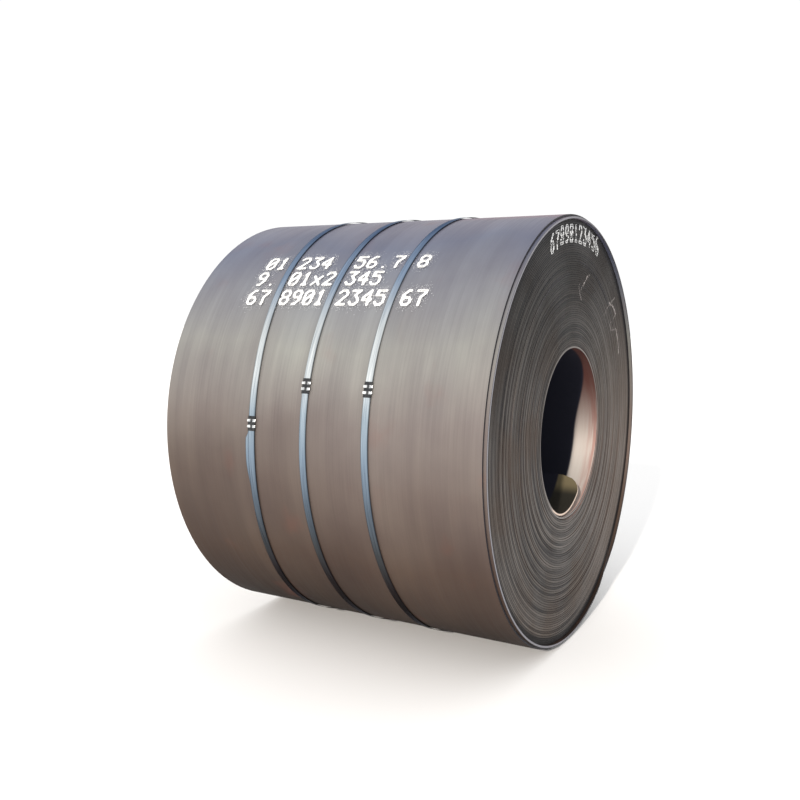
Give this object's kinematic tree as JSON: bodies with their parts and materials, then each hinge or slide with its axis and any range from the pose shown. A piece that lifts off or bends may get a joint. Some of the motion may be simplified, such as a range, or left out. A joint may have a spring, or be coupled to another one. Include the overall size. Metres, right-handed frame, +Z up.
{
  "type": "steel coil",
  "caption": "Hot-rolled steel strip wound into a heavy round coil with an open eye, lying on its side and held by crimped steel straps.",
  "frame": {"origin": "on the floor, under the middle of the coil", "axes": "+X along the coil's axis towards the end that carries the paint marks, +Y from the sealed front to the back, +Z up"},
  "size_m": [1.538, 1.9306, 1.9292],
  "materials": {
    "mill_scale_steel": "hot-rolled mill scale, dull grey with a light brown rust bloom",
    "strap_steel": "bright zinc-coated strapping",
    "seal_steel": "bright zinc-coated pressed sheet"
  },
  "bodies": {
    "root": {"coil": "mill_scale_steel", "strap_left": "strap_steel", "strap_middle": "strap_steel", "strap_right": "strap_steel", "seal_left": "seal_steel", "seal_middle": "seal_steel", "seal_right": "seal_steel"}
  },
  "joints": []
}
